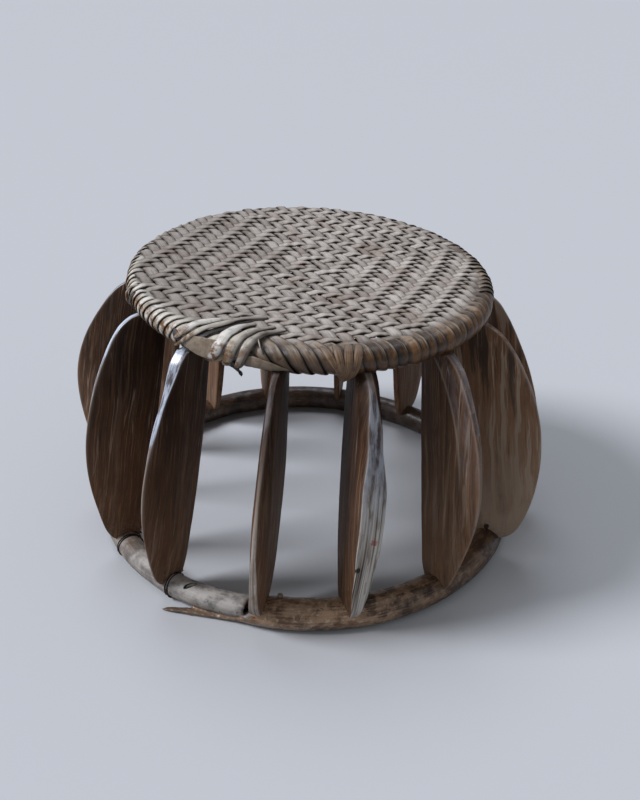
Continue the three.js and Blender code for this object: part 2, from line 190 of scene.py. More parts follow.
def coats(base, *rows):
    """Colours laid over a base, each by its own share."""
    for share, code in rows:
        base = share.tint(base, code)
    return base


def new_material(name, **plain):
    """A material, its Principled shader and the place where its tree starts. Plain values go
    on the shader's sockets."""
    made = bpy.data.materials.new(name)
    made.use_nodes = True
    shader = made.node_tree.nodes["Principled BSDF"]
    for socket, value in plain.items():
        shader.inputs[socket.replace("_", " ")].default_value = value
    return made, shader, Wire(made.node_tree).add("ShaderNodeTexCoord", out="Object")


def join(shader, **wires):
    for name, wire in wires.items():
        wire.tree.links.new(wire.socket, shader.inputs[name.replace("_", " ")])


def grained(name, noise, band, colours, gloss, depth, **plain):
    """A plain material: one noise gives its colour, its gloss and its relief."""
    made, shader, place = new_material(name, **plain)
    grain = place.noise(*noise)
    hue = grain.smooth(*band).tint(*colours)
    join(shader, Base_Color=hue, Roughness=grain.between(*gloss), Normal=grain.bump(depth))
    return made


def at(azimuth, ring, height):
    turn = radians(azimuth)
    return Vector((ring * sin(turn), -ring * cos(turn), height)) + stool_middle


def smoothstep(value, low, high):
    share = min(max((value - low) / (high - low), 0), 1)
    return share * share * (3 - 2 * share)


def mix(low, high, share):
    return low + (high - low) * share


def turns(count, first=0.0):
    """Evenly spaced angles round a section."""
    return [(k + first) / count * tau for k in range(count)]


def pole_radius(sweep):
    return mix(thin_pole, thick_pole, smoothstep(sweep, -20, 110))


def pole_middle(sweep):
    return pole_radius(sweep) * worn_flat + pale_lift * (1 - smoothstep(sweep, 0, 21))


def new_piece(name, form, material=None):
    bmesh.ops.recalc_face_normals(form, faces=form.faces)
    mesh = bpy.data.meshes.new(name)
    form.to_mesh(mesh)
    form.free()
    made = bpy.data.objects.new(name, mesh)
    scene.collection.objects.link(made)
    if material:
        mesh.materials.append(material)
    mesh.shade_smooth()
    return made


def lofted(name, rings, material=None, closed=False):
    """A tube through rings of points, with flat ends or closed on itself."""
    form = bmesh.new()
    rows = [[form.verts.new(point) for point in ring] for ring in rings]
    for low, high in zip(rows, rows[1:] + rows[:closed]):
        for corners in zip(low, low[1:] + low[:1], high[1:] + high[:1], high):
            form.faces.new(corners)
    if not closed:
        form.faces.new(rows[0][::-1])
        form.faces.new(rows[-1])
    return new_piece(name, form, material)


def store(piece, labels, facts):
    """Puts a row of named values on each point of a piece."""
    for label, values in zip(labels.split(), zip(*facts)):
        attribute = piece.data.attributes.new(label, "FLOAT", "POINT")
        attribute.data.foreach_set("value", np.array(values, np.float32))


def new_tree(name, **sizes):
    """An empty Geometry Nodes tree with named inputs, the wires from them, and its start."""
    tree = bpy.data.node_groups.new(name, "GeometryNodeTree")
    tree.interface.new_socket(name="Geometry", in_out="INPUT", socket_type="NodeSocketGeometry")
    tree.interface.new_socket(name="Geometry", in_out="OUTPUT", socket_type="NodeSocketGeometry")
    kinds = {float: "NodeSocketFloat", int: "NodeSocketInt"}
    for label, value in {**sizes, "Material": None}.items():
        kind = kinds.get(type(value), "NodeSocketMaterial")
        made = tree.interface.new_socket(name=label, in_out="INPUT", socket_type=kind)
        if value is not None:
            made.default_value = value
    group = tree.nodes.new("NodeGroupInput")
    wires = {socket.name: Wire(tree, socket) for socket in group.outputs if socket.name}
    return tree, wires, Wire(tree)


def close_tree(tree, wire, size):
    """Ends a tree: it realizes its instances and sets its material."""
    wire = wire.add("GeometryNodeRealizeInstances", Geometry=wire)
    wire = wire.add("GeometryNodeSetMaterial", Geometry=wire, Material=size["Material"])
    tree.links.new(wire.socket, tree.nodes.new("NodeGroupOutput").inputs[0])


def modify(piece, kind, **settings):
    modifier = piece.modifiers.new(kind.lower(), kind)
    for name, value in settings.items():
        setattr(modifier, name, value)
    return modifier


def settle(piece, tree, material, **sizes):
    """Adds a tree to a piece's modifiers, and makes the result of them all its mesh."""
    modifier = modify(piece, "NODES", node_group=tree)
    inputs = [item for item in tree.interface.items_tree if item.in_out == "INPUT"]
    names = {item.name: item.identifier for item in inputs}
    for label, value in {**sizes, "Material": material}.items():
        modifier[names[label]] = value
    evaluated = piece.evaluated_get(bpy.context.evaluated_depsgraph_get())
    mesh = bpy.data.meshes.new_from_object(evaluated)
    piece.modifiers.clear()
    piece.data = mesh
    mesh.materials.clear()
    mesh.materials.append(material)
    mesh.shade_smooth()


def middle_of(ring):
    return sum(ring, Vector()) / len(ring)


def pole_section(azimuth, out, width, height_at):
    """A ring of points round the pole, held above the floor."""
    half = width / 2
    sides = turns(pole_sides, 0.5)
    return [at(azimuth, out + half * sin(turn), max(height_at(cos(turn)), 0)) for turn in sides]


def end_ring(ring, share, push):
    """A smaller copy of an end ring, pushed along the pole."""
    middle = middle_of(ring)
    return [middle + (point - middle) * share + push for point in ring]


def round_pole(place):
    """A place's azimuth, its sweep from the pale end, its distance from the axis, its height."""
    x, y, z = place.parts()
    x, y = x - stool_middle.x, y - stool_middle.y
    azimuth = x.math("ARCTAN2", -1 * y)
    sweep = (radians(pale_end) - azimuth).math("FLOORED_MODULO", tau)
    return azimuth, sweep, (x * x + y * y).math("SQRT"), z


# once round, from a little past the pale end's azimuth to where the tail begins
first_sweep = -3.2
last_sweep = 360 + pale_end + 7.5
rings = []
for step in range(pole_steps + 1):
    sweep = mix(first_sweep, last_sweep, step / pole_steps)
    radius, middle = pole_radius(sweep), pole_middle(sweep)
    azimuth = pale_end - sweep
    rings.append(pole_section(azimuth, pole_ring, 2 * radius, lambda c: middle - radius * c))
along = (rings[1][0] - rings[0][0]).normalized()

# the end is sawn aslant, so that it looks forwards, and its pith has rotted out
end_middle = middle_of(rings[0])
forwards = (at(pale_end, 1, 0) - stool_middle).normalized()
slant, slant_steps = 0.3, 16
for number in range(slant_steps):
    for point in rings[number]:
        out_share = (point - end_middle).dot(forwards) + thin_pole + 0.4 * mm
        point += along * out_share * slant * (1 - number / slant_steps)
hollow = ((0.1, 14), (0.4, 13), (0.6, 9), (0.7, 2), (0.8, -0.2), (0.95, -0.2))
rings = [end_ring(rings[0], share, along * push * mm) for share, push in hollow] + rings

# the brown end is cut down to a tongue, which runs on straight as the spike: azimuth, distance
# from the axis, width and height
tail = (
    (-8.5, 224.0, 30.0, 29.5), (-10.0, 224.0, 28.5, 26.0), (-12.0, 224.2, 26.0, 19.0),
    (-14.0, 224.8, 22.5, 11.5), (-16.0, 225.6, 19.0, 6.4), (-19.0, 227.6, 16.0, 5.0),
    (-22.0, 230.4, 12.5, 4.7), (-25.0, 234.4, 9.6, 4.6), (-28.0, 239.0, 8.2, 4.6),
    (-31.0, 243.8, 7.4, 4.2), (-33.0, 247.4, 5.0, 3.2), (-34.0, 249.0, 2.2, 1.6),
)
tail_steps = 6
for low, high in zip(tail, tail[1:]):
    for step in range(tail_steps):
        azimuth, *sizes = (mix(p, q, step / tail_steps) for p, q in zip(low, high))
        out, width, top = (size * mm for size in sizes)
        half = max(width, top) / 2
        rings.append(pole_section(azimuth, out, width, lambda c: min(half * (worn_flat - c), top)))
base_hoop = lofted("floor_hoop", rings)

# the empty mortise between two of the front blades
slot_azimuth, slot_tip, slot_turn = -29, 20, 42
slot_form = bmesh.new()
bmesh.ops.create_cone(slot_form, cap_ends=True, segments=24, radius1=1, radius2=1, depth=1)
slot_place = at(-29.3, pole_ring + 3 * mm, 2 * pole_middle(13) - 1 * mm)
slot_matrix = Matrix.Translation(slot_place)
for turn, axis in ((slot_azimuth, "Z"), (slot_tip, "X"), (slot_turn, "Z")):
    slot_matrix @= Matrix.Rotation(radians(turn), 4, axis)
slot_cutter = new_piece("slot_cutter", slot_form)
slot_cutter.data.transform(slot_matrix @ Matrix.Diagonal((6.0 * mm, 2.1 * mm, 16 * mm, 1)))
modify(base_hoop, "REMESH", mode="VOXEL", voxel_size=1.5 * mm)
modify(base_hoop, "SMOOTH", factor=0.5, iterations=3)
modify(base_hoop, "BOOLEAN", object=slot_cutter, solver="EXACT")

# Rubbed and bent wood: shallow flats and ripples that run along the pole
wear_tree, size, start = new_tree("pole_wear", Depth=0.5 * mm, Length=60 * mm, Pits=0.3 * mm)
place = start.add("GeometryNodeInputPosition")
_, sweep, ring_out, z = round_pole(place)
ripple_width = 14 * mm
run = sweep * pole_ring / size["Length"]
ripple = start.grain(run, ring_out / ripple_width, z / ripple_width) - 0.5
rise = ripple * size["Depth"] * 4 + (place.noise(220, 2) - 0.5) * size["Pits"]
rubbed = size["Geometry"].raised(rise)
x, y, z = start.add("GeometryNodeInputPosition").parts()
close_tree(wear_tree, rubbed.moved(Position=start.vector(x, y, z.math("MAXIMUM", 0.0))), size)

pole_wood, shader, place = new_material("rubbed_pole", Specular_IOR_Level=0.35, Coat_Roughness=0.3)
azimuth, sweep, ring_out, z = round_pole(place)
# the pale wood starts a little before the sweep's nought, and the spike lies below it
sweep = sweep - (sweep > tau - 0.062) * (z > 13 * mm) * tau
spike = z.smooth(7.8 * mm, 6.6 * mm) * sweep.smooth(0.36, 0.3)
fibre = place.grain(sweep * 6, ring_out * 420, z * 420, 4, 0.6)
grain = place.grain(sweep * 22, ring_out * 900, z * 900, 3, 0.6)
patch = place.grain(sweep * 5, ring_out * 36, z * 36)
nicks = place.grain(sweep * 60, ring_out * 300, z * 300, 2)
blotch = place.noise(70, 4, 0.6)
speck = place.noise(520, 3, 0.7)
brown = coats(
    patch.smooth(0.35, 0.65).tint("#3a261b", "#73543c"),
    (blotch.smooth(0.48, 0.66) * 0.8, "#957553"),
    (grain.smooth(0.54, 0.7) * 0.7, "#b89a78"),
    (spike * 0.5, "#6e5f52"),
)
pale = coats(
    blotch.smooth(0.3, 0.65).tint("#75706b", "#a49e96"),
    (fibre.smooth(0.52, 0.7) * 0.5, "#c0bab0"),
    (speck.smooth(0.62, 0.72) * 0.6, "#39312c"),
)
paleness = (1 - (sweep + (patch - 0.5) * 0.5).smooth(0.42, 0.95)) * (1 - spike)
front = fibre.smooth(0.4, 0.62) * 0.4 + blotch.smooth(0.42, 0.58) * 0.5
front = abs(azimuth).smooth(0.75, 0.3) * (1 - paleness) * front
from_slot = place.add("ShaderNodeVectorMath", {"operation": "SUBTRACT"}, {0: place, 1: slot_place})
slot_x, slot_y, _ = from_slot.parts()
turned = radians(slot_azimuth + slot_turn)
lengthwise = (slot_x * cos(turned) + slot_y * sin(turned)) / (6.6 * mm)
crosswise = (slot_y * cos(turned) - slot_x * sin(turned)) / (2.6 * mm)
in_slot = lengthwise * lengthwise + crosswise * crosswise + (z < slot_place.z - 12 * mm) * 9
wood = coats(
    paleness.tint(brown, pale),
    (fibre.smooth(0.43, 0.3) * (0.55 - paleness * 0.3), "#1d1512"),
    # darker round the back of the hoop: painted shade under the seat
    (abs(azimuth).smooth(0.9, 2) * 0.5, "#2b211c"),
    (front, "#bc9878"),
    (azimuth.smooth(0.55, 1.1) * 0.55, "#33221a"),
    (nicks.smooth(0.6, 0.66) * front * 1.2, "#c9b193"),
    (nicks.smooth(0.32, 0.29) * 0.6, "#1c130e"),
    (patch.smooth(0.48, 0.34) * (1 - paleness) * 0.45, "#33211a"),
    # a painted highlight along the top of the pale end, and darker near the floor
    (z.smooth(14 * mm, 20 * mm) * paleness * blotch.smooth(0.42, 0.6) * 0.4, "#cfcac3"),
    (z.smooth(12 * mm, 3 * mm) * (0.35 + blotch * 0.4), "#3a2b22"),
    # painted shade in the hollow end and in the mortise
    (place.distance(end_middle + along * 9 * mm).smooth(8.5 * mm, 5.5 * mm), "#120d0b"),
    (in_slot.smooth(1.25, 0.85), "#0b0807"),
)
join(
    shader,
    Base_Color=wood,
    Roughness=fibre * 0.3 + 0.28 + paleness * 0.15,
    Coat_Weight=(1 - paleness) * (blotch.smooth(0.4, 0.6) * 0.5 + 0.1),
    Normal=(fibre + grain * 0.4).bump(0.6 * mm, 0.6),
)
settle(base_hoop, wear_tree, pole_wood)
bpy.data.objects.remove(slot_cutter)
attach(base_hoop, "root")
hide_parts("base_hoop")


# Plug: a pale peg of fresh wood, driven into an old hole in the floor hoop and left standing
# a little proud.
low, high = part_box("pole_plug")
middle = (low + high) / 2
plug_radius, plug_sink, plug_tilt = 2.6 * mm, 0.3 * mm, 0.35 * mm
rings = []
for share, width in ((0, 0.9), (0.5, 1), (0.93, 1), (0.985, 0.9), (1, 0.6)):
    height = mix(low.z, high.z, share) - plug_sink
    ring = []
    for turn in turns(20):
        uneven = 1 + 0.08 * sin(3 * turn + 1) + 0.05 * cos(5 * turn)
        tilt = plug_tilt * cos(turn) * (share > 0.9)
        out = Vector((cos(turn), sin(turn), 0)) * plug_radius * width * uneven
        ring.append(Vector((middle.x, middle.y, height + tilt)) + out)
    rings.append(ring)
plug_wood = grained(
    "pale_peg", (900, 3, 0.6), (0.3, 0.7), ("#6b5c4e", "#b5a797"), (0.55, 0.85), 0.3 * mm
)
plug = lofted("pole_peg", rings, plug_wood)
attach(plug, "root")
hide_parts("pole_plug")


# Blades: fourteen boards hewn with an adze from dark hardwood, coped over the floor hoop and
# pegged into both hoops. Their faces are uneven, the grain runs upright, and the outer edges
# are rubbed smooth and greyish, with painted highlights along them.
hewn_tree, size, start = new_tree("hewn_face", Facet=28 * mm, Depth=0.8 * mm, Groove=0.25 * mm)
x, y, z = start.add("GeometryNodeInputPosition").parts()
tall = start.vector(x, y, z * 0.35)
scale = 1 / size["Facet"]
scallop = start.add(
    "ShaderNodeTexVoronoi", {"feature": "SMOOTH_F1"}, Vector=tall, Scale=scale, Smoothness=0.35
)
swell = tall.noise(scale, 2) - 0.5
line = start.grain(x * 380, y * 380, z * 18) - 0.5
rise = (swell * 2 + (0.4 - scallop)) * size["Depth"] + line * size["Groove"]
close_tree(hewn_tree, size["Geometry"].raised(rise), size)

blade_wood, shader, place = new_material(
    "hewn_hardwood", Specular_IOR_Level=0.2, Coat_Roughness=0.2
)
x, y, z = place.parts()
edge, tone, up, facet, sheen, bare, inset, out, side, own = place.named(
    "edge tone up facet sheen bare inset grain_out grain_side own"
)
sway = place.grain(x * 9, y * 9, z * 14, 2) - 0.5
knot = place.grain(x * 30, y * 30, z * 22, 2) - 0.5
out = out + sway * (7 * mm) + knot * (4 * mm)
broad = place.grain(out * 95 + own, side * 70, z * 8, 3, 0.55)
streak = place.grain(out * 280 + own, side * 160, z * 13, 5, 0.66)
fine = place.grain(out * 900 + own, side * 500, z * 34, 4, 0.65)
crack = place.grain(out * 560 + own * 2, side * 240, z * 12, 3, 0.55)
skin = place.grain(inset * 260 + own, side * 430, z * 7, 5, 0.62)
wisp = place.grain(out * 150 + own * 3, side * 90, z * 9, 4, 0.6)
worn = place.grain(inset * 150 + own, side * 190, z * 34, 4, 0.65)
scratch = place.grain(out * 240 + own * 2, side * 90, z * 3.2, 1, 0.3)
cloud = place.grain(x * 24, y * 24, z * 12, 4, 0.6)
speck = place.noise(420, 3, 0.7)
low = up.smooth(0.95, 0)
patchy = cloud.smooth(0.35, 0.6)
lightness = tone + low * (tone * 1.5 + 0.36) + (cloud - 0.5) * 0.5
lightness = lightness + (broad - 0.5) * (tone * 1.2 + 0.35)
scratch = abs(scratch - 0.6).smooth(0.018, 0.004) * cloud.smooth(0.4, 0.6)
line = edge * up.smooth(0.3, 0.42) * (0.5 + cloud * 0.5)
bare_wood = coats(
    skin.smooth(0.33, 0.6).tint("#6a5d52", "#e6dfd6"),
    (cloud.smooth(0.55, 0.4) * 0.3, "#8a7a6c"),
)
bare = bare * (0.3 + worn.smooth(0.34, 0.56) * 0.9 + (cloud - 0.5) * 0.8)
# the edge's grey near its top, with a painted sky highlight
grey_glint = sheen * (worn.smooth(0.38, 0.6) * 0.75 + (cloud - 0.5) + 0.25)
grey_glint = grey_glint.math("ADD", 0.0, clamp=True)
glint_brightest = sheen.smooth(0.6, 1.1).tint("#b3b8c2", "#dde6f4")
nick = place.distance((0.0434, -0.2462, 0.0857)) + (skin - 0.5) * (11 * mm)
spot = place.distance((0.0571, -0.2434, 0.1154)) + (speck - 0.5) * (9 * mm)
wood = coats(
    lightness.tint("#241107", "#8e6140"),
    (streak.smooth(0.52, 0.66) * (low * 0.5 + tone * 1.1 + 0.08), "#9b7654"),
    (streak.smooth(0.47, 0.32) * (patchy * 0.5 + 0.25), "#170c06"),
    (fine.smooth(0.58, 0.72) * (low * 0.35 + tone * 1.1), "#b8997a"),
    (wisp.smooth(0.55, 0.61) * (streak * 0.9 + 0.2) * (tone * 2 + low * 0.14), "#b39e89"),
    (wisp.smooth(0.46, 0.38) * (tone * 2.2), "#39271b"),
    (scratch * (tone * 1.5 + 0.35), "#bda592"),
    (crack.smooth(0.39, 0.31) * (patchy * 0.5 + 0.35), "#0d0705"),
    (tone * 0.95 * (low * 1.1 + 0.12) * (patchy * 0.6 + 0.65), "#b9a28d"),
    (up.smooth(0.14, 0) * speck.smooth(0.45, 0.6) * 0.6, "#8f7a66"),
    # the outer edge: a narrow pale line below, worn and partly a painted highlight; grey above with
    # a painted sky highlight; and worn bare where it is broad
    (line, "#a89586"),
    (bare, bare_wood),
    (grey_glint, worn.smooth(0.34, 0.64).tint("#5d5f69", glint_brightest)),
    (facet * skin.smooth(0.4, 0.3) * up.smooth(0.5, 0.1) * 0.7, "#33241b"),
    # a dark nick and a small red spot on the thick blade at the front
    (nick.smooth(3.2 * mm, 2 * mm) * 0.9, "#0d0806"),
    (spot.smooth(4.4 * mm, 1.6 * mm) * 0.7, "#a04438"),
)
join(
    shader,
    Base_Color=wood,
    Roughness=streak * 0.35 + 0.42 - grey_glint * 0.15,
    Coat_Weight=grey_glint * 0.8 + up.smooth(0.6, 1) * 0.06,
    Normal=(streak + fine * 0.35 + crack.smooth(0.36, 0.3) * -0.5).bump(0.7 * mm, 0.75),
)

rim_ring = 179.5 * mm
rim_radius = 10.5 * mm
seat_height = 276.5 * mm
deepen = 405 / 380
rake = radians(3.5)
lean = radians(1.15)
seat_back = 6 * mm


def hoop_ring(azimuth):
    """The oval seat hoop's middle, seen from the stool's axis at one azimuth."""
    turn = radians(azimuth)
    across, deep = sin(turn) / rim_ring, cos(turn) / (rim_ring * deepen)
    off = seat_back / (rim_ring * deepen)
    square = across * across + deep * deep
    return (sqrt(off * off * deep * deep - square * (off * off - 1)) - off * deep) / square


def rim_under(point):
    """The height of the rim's underside over a point of the floor."""
    offset = point - stool_middle
    tilt = (offset.y - seat_back) * tan(rake) - offset.x * tan(lean)
    return seat_height - rim_radius + tilt


def blend_between(knots, share):
    """A smooth value along evenly spaced knots."""
    number = min(int(share * (len(knots) - 1)), len(knots) - 2)
    part = share * (len(knots) - 1) - number
    return mix(knots[number], knots[number + 1], part * part * (3 - 2 * part))


def toward(here, there, most):
    """A point on the way to another, at most a third of the way along."""
    way = there - here
    return here + way.normalized() * min(most, way.length / 3)


def rounded(corners, softness, spans):
    """A section with its corners rounded off, and points along each side."""
    corners = [Vector(corner) for corner in corners]
    section = []
    for k, here in enumerate(corners):
        after = (k + 1) % len(corners)
        start = toward(here, corners[k - 1], softness[k] * mm)
        stop = toward(here, corners[after], softness[k] * mm)
        goal = toward(corners[after], here, softness[after] * mm)
        section += [start, (start + stop) / 4 + here / 2, stop]
        section += [stop.lerp(goal, (j + 1) / (spans[k] + 1)) for j in range(spans[k])]
    return section


# each blade's foot and top azimuth, then shares: thickness, bulge, bow, belly height, how its
# outline swells below and above the belly, its thickness under the rim; millimetres that its
# top stands out, that its foot laps the pole and that its bevel is deep; its twist in degrees
plain_shape = (0.75, 0.75, 0.72, 15, 11, 18, 0)
blade_rows = (
    (-164, -165, 0.95, 0.95, 1, 0.5),
    (-142.5, -142, 1, 1, 0.8, 0.47),
    (-114, -115, 1, 0.98, 1, 0.52),
    (-86.4, -86.1, 0.97, 1.18, 1, 0.6, 0.96, 0.88, 0.72, 15.8, 10, 24, -3.9),
    (-58.9, -60.8, 0.97, 1.01, 0.15, 0.53, 0.92, 0.56, 0.75, 15, 7.1, 26, 0),
    (-37, -34.7, 1.11, 0.95, 0.46, 0.505, 1.01, 1.07, 0.85, 21.7, 7.5, 28, 4.4),
    (-10.3, -7.9, 1.17, 0.83, 1.41, 0.5, 0.75, 0.62, 0.79, 15.7, 10.5, 20, -3.5),
    (11.6, 15, 1.82, 0.77, 0.78, 0.57, 0.87, 0.69, 0.85, 15.3, 13.2, 12, 2.8),
    (36.8, 41.3, 1.21, 1.11, 0.12, 0.54, 1.01, 0.74, 1.25, 18.9, 12.3, 21, -5.2),
    (63.6, 65.8, 0.98, 1.31, 1, 0.55, 0.54, 0.67, 0.72, 14.7, 10.1, 16, 1.1),
    (86, 88, 1, 1.15, 1, 0.43),
    (115, 114, 1.05, 1, 1, 0.5),
    (142.5, 142, 1, 1.02, 0.9, 0.48),
    (168.6, 169, 0.9, 0.95, 1, 0.5),
)
# by blade number: the outer edge's half width in millimetres at six heights, then how light the
# wood is, how strong the edge's grey with its painted sky highlight is near its top, and how far
# it is worn bare lower down
plain_edge = (2.4, 2, 2, 2.4, 3.4, 4)
blade_looks = {
    4: ((1.8, 1.2, 1, 1.4, 2.4, 3.2), 0.09, 1.0, 0.1),
    5: ((1.6, 1, 0.8, 1.1, 2.2, 3), 0.07, 1.2, 0.1),
    6: ((1.2, 0.8, 0.7, 0.9, 2.4, 6.2), 0.07, 1.8, 0.15),
    7: ((5.6, 4, 2, 1.4, 2, 2.6), 0.07, 0.25, 0.5),
    8: ((4, 8.6, 11.6, 11.4, 6.3, 2.5), 0.03, 0.65, 1.3),
    9: ((1.8, 1.4, 1.4, 2.2, 3.2, 4.5), 0.26, 0.3, 0.1),
    10: ((1.8, 1.5, 1.5, 1.8, 2.4, 3.5), 0.72, 0.2, 0.1),
    11: (plain_edge, 0.4, 0.1, 0.1),
}
# between which shares of a blade's height the grey edge with its painted highlight starts and
# the bare wood ends
plain_fades = ((0.55, 0.82), (0.38, 0.62))
own_fades = {8: ((0.4, 0.66), (0.5, 0.74))}
# corner by corner, from the outer edge round: how far it is rounded in millimetres, and how
# many points lie along the side after it
softness = (0.8, 0.8, 3, 2, 3, 2, 2, 3, 2, 3)
spans = (3, 3, 4, 5, 5, 3, 5, 5, 4, 3)
blade_steps = 130
foot_end, top_end = 0.085, 0.95
foot_reach, top_reach = 18 * mm, 20 * mm
toe_round, heel_round, top_round = 9 * mm, 7 * mm, 5 * mm
half_thick, bulge_depth, bow_depth = 6.5 * mm, 35 * mm, 9 * mm
# shares of the half thickness: a blade's foot, its back, and its edge at most
foot_thin, back_thin, edge_most = 0.72, 0.78, 0.97
facet_depth, rub_glint_reach, border = 0.35 * mm, 1.0 * mm, 0.7 * mm
flat_bevels = (8, 9, 10)
for index, row in enumerate(blade_rows):
    foot, top, thick, bulge, bow_share, belly, *row = (*row, *plain_shape)[:13]
    low_power, high_power, head, top_out, saddle, bevel_depth, twist = row
    number = index + 1
    edge_widths, tone, grey_glint_strength, worn_bare = blade_looks.get(number, (plain_edge, 0.12, 0.3, 0.1))
    sweep = (pale_end - foot) % 360
    low = pole_middle(sweep) + pole_radius(sweep) - saddle * mm
    top_ring = hoop_ring(top)
    skew = log(0.5) / log(belly)
    grey_glint_fades, bare_fades = own_fades.get(number, plain_fades)
    rings, facts = [], []
    for step in range(blade_steps + 1):
        share = step / blade_steps
        arch = max(sin(pi * share**skew), 0)
        swell = arch ** (low_power if share < belly else high_power)
        bow = sin(pi * share)
        outer = mix(pole_ring + foot_reach, top_ring + top_out * mm, share)
        outer += bulge_depth * bulge * swell
        inner = mix(pole_ring - foot_reach, top_ring - top_reach, share)
        inner -= bow_depth * bow_share * bow
        # the foot and the outer corner of the top are rounded off
        short = 1 - sqrt(max(1 - max(1 - share / foot_end, 0) ** 2, 0))
        outer -= toe_round * short
        inner += heel_round * short
        outer -= top_round * max((share - top_end) / (1 - top_end), 0) ** 2
        half = half_thick * thick * mix(mix(foot_thin, head, share), 1, bow)
        half *= 1 - 0.25 * short
        edge = min(blend_between(edge_widths, share) * mm, half * edge_most)
        bevel = outer - bevel_depth * mm
        crown = outer - bevel_depth * 0.4 * mm
        full = mix(edge, half, 0.4 if number in flat_bevels else 0.6)
        middle = (inner + bevel) / 2
        back = half * back_thin
        corners = (
            (outer, -edge), (outer, edge), (crown, full), (bevel, half), (middle, half),
            (inner, back), (inner, -back), (middle, -half), (bevel, -half), (crown, -full),
        )
        pivot = mix(pole_ring, top_ring, share)
        azimuth = mix(foot, top, share)
        turned = radians(azimuth + twist)
        out_way = Vector((sin(turned), -cos(turned), 0))
        side_way = Vector((cos(turned), sin(turned), 0))
        ring = []
        for out, side in rounded(corners, softness, spans):
            beyond = out - pivot
            point = at(azimuth, pivot, 0) + out_way * beyond + side_way * side
            point.z = mix(low, rim_under(point) + 2.5 * mm, share)
            ring.append(point)
            facet = float(out > outer - facet_depth)
            rub_and_glint = exp((out - outer) / rub_glint_reach)
            # a broad edge is worn, and carries a painted highlight, along its two borders
            broad = facet * smoothstep(edge / mm, 1.5, 3.5)
            rub_and_glint *= mix(1, 0.9 * exp((abs(side) - edge) / border), broad)
            grey_glint = facet * grey_glint_strength * smoothstep(share, *grey_glint_fades)
            # blade 9: a faint painted sheen on the bevel, and a pale line along its ridge that is
            # partly a painted highlight
            if number == 9 and side < 0 and out > bevel - 0.5 * mm:
                grey_glint = 0.12 * smoothstep(share, 0.5, 0.72)
                ridge = 0.9 * exp(-abs(out - bevel) / (0.8 * mm))
                rub_and_glint = max(rub_and_glint, ridge * smoothstep(share, 0.45, 0.6))
            if number == 7:
                rub_and_glint *= 1 - 0.75 * smoothstep(share, 0.6, 0.8)
            bare = facet * worn_bare * (1 - smoothstep(share, *bare_fades))
            own = (rub_and_glint, beyond, side, share, facet, grey_glint, bare, outer - out)
            facts.append((*own, tone, index * 3.7))
        rings.append(ring)
    blade = lofted(f"board_{index + 1:02d}", rings)
    store(blade, "edge grain_out grain_side up facet sheen bare inset tone own", facts)
    settle(blade, hewn_tree, blade_wood)
    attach(blade, "root")
    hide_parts(f"blade_{index + 1:02d}")


# Toe nail: an iron nail with a rubbed domed head, driven aslant through a front blade's foot
# into the floor hoop.
low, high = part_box("toe_nail")
iron = grained(
    "old_iron", (700, 4, 0.65), (0.45, 0.62), ("#2b2421", "#54392b"), (0.35, 0.75), 0.2 * mm,
    Metallic=0.7, Specular_IOR_Level=0.5,
)
nail_azimuth, nail_slope = 63.6, radians(50)
nail_back, nail_sink = 9.2 * mm, 2.2 * mm
nail_turn = radians(nail_azimuth)
along_pole = Vector((cos(nail_turn), sin(nail_turn), 0))
nail_way = along_pole * cos(nail_slope) - Vector((0, 0, sin(nail_slope)))
nail_head = at(nail_azimuth, pole_ring, 0) - along_pole * nail_back
nail_head.z = high.z - nail_sink
across = nail_way.cross(Vector((0, 0, 1))).normalized()
up_over = across.cross(nail_way)
# how far along the nail, and its radius there, in millimetres
nail_profile = (
    (-1.3, 0.6), (-1.2, 1.5), (-0.8, 2.3), (-0.2, 2.7), (0.3, 2.5), (0.5, 1.3), (1.5, 1.15),
    (20, 1.0), (21.5, 0.3),
)
shank_radius = 1.4
rings = []
for push, radius in nail_profile:
    ring = []
    for turn in turns(16):
        uneven = 1 + 0.07 * sin(2 * turn + 0.6) * (radius > shank_radius)
        out = across * cos(turn) + up_over * sin(turn)
        ring.append(nail_head + (nail_way * push + out * radius * uneven) * mm)
    rings.append(ring)
nail = lofted("foot_nail", rings, iron)
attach(nail, "root")
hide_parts("toe_nail")


# Foot lashings: soft iron wire wound tightly round the thin end of the floor hoop, close beside
# the feet of two blades.
lash_tree, size, start = new_tree(
    "lashing", Turns=2.4, Pitch=2.6 * mm, Wire=0.6 * mm, Pole=12.0 * mm, Middle=15 * mm,
    Azimuth=-0.9, Phase=0.0,
)
line = start.add("GeometryNodeCurvePrimitiveLine")
line = start.add("GeometryNodeResampleCurve", Curve=line, Count=150)
share = start.add("GeometryNodeSplineParameter", out="Factor")
turn = share * size["Turns"] * tau + size["Phase"]
sway = start.grain(turn * 0.6, size["Azimuth"], 0, 2) - 0.5
ends = share.smooth(0.12, 0) + share.smooth(0.9, 1)
reach = size["Pole"] + size["Wire"] * 0.8 + ends * (1.2 * mm)
across = share * size["Turns"] * size["Pitch"] + sway * (3.4 * mm)
angle = across / pole_ring + size["Azimuth"]
out = pole_ring - reach * turn.math("SINE")
x = out * angle.math("SINE") + stool_middle.x
y = out * angle.math("COSINE") * -1 + stool_middle.y
z = (size["Middle"] + reach * turn.math("COSINE")).math("MAXIMUM", 0.9 * mm)
line = line.moved(Position=start.vector(x, y, z))
section = start.add("GeometryNodeCurvePrimitiveCircle", Resolution=10, Radius=size["Wire"])
tube = start.add("GeometryNodeCurveToMesh", Curve=line, Profile_Curve=section, Fill_Caps=True)
close_tree(lash_tree, tube, size)
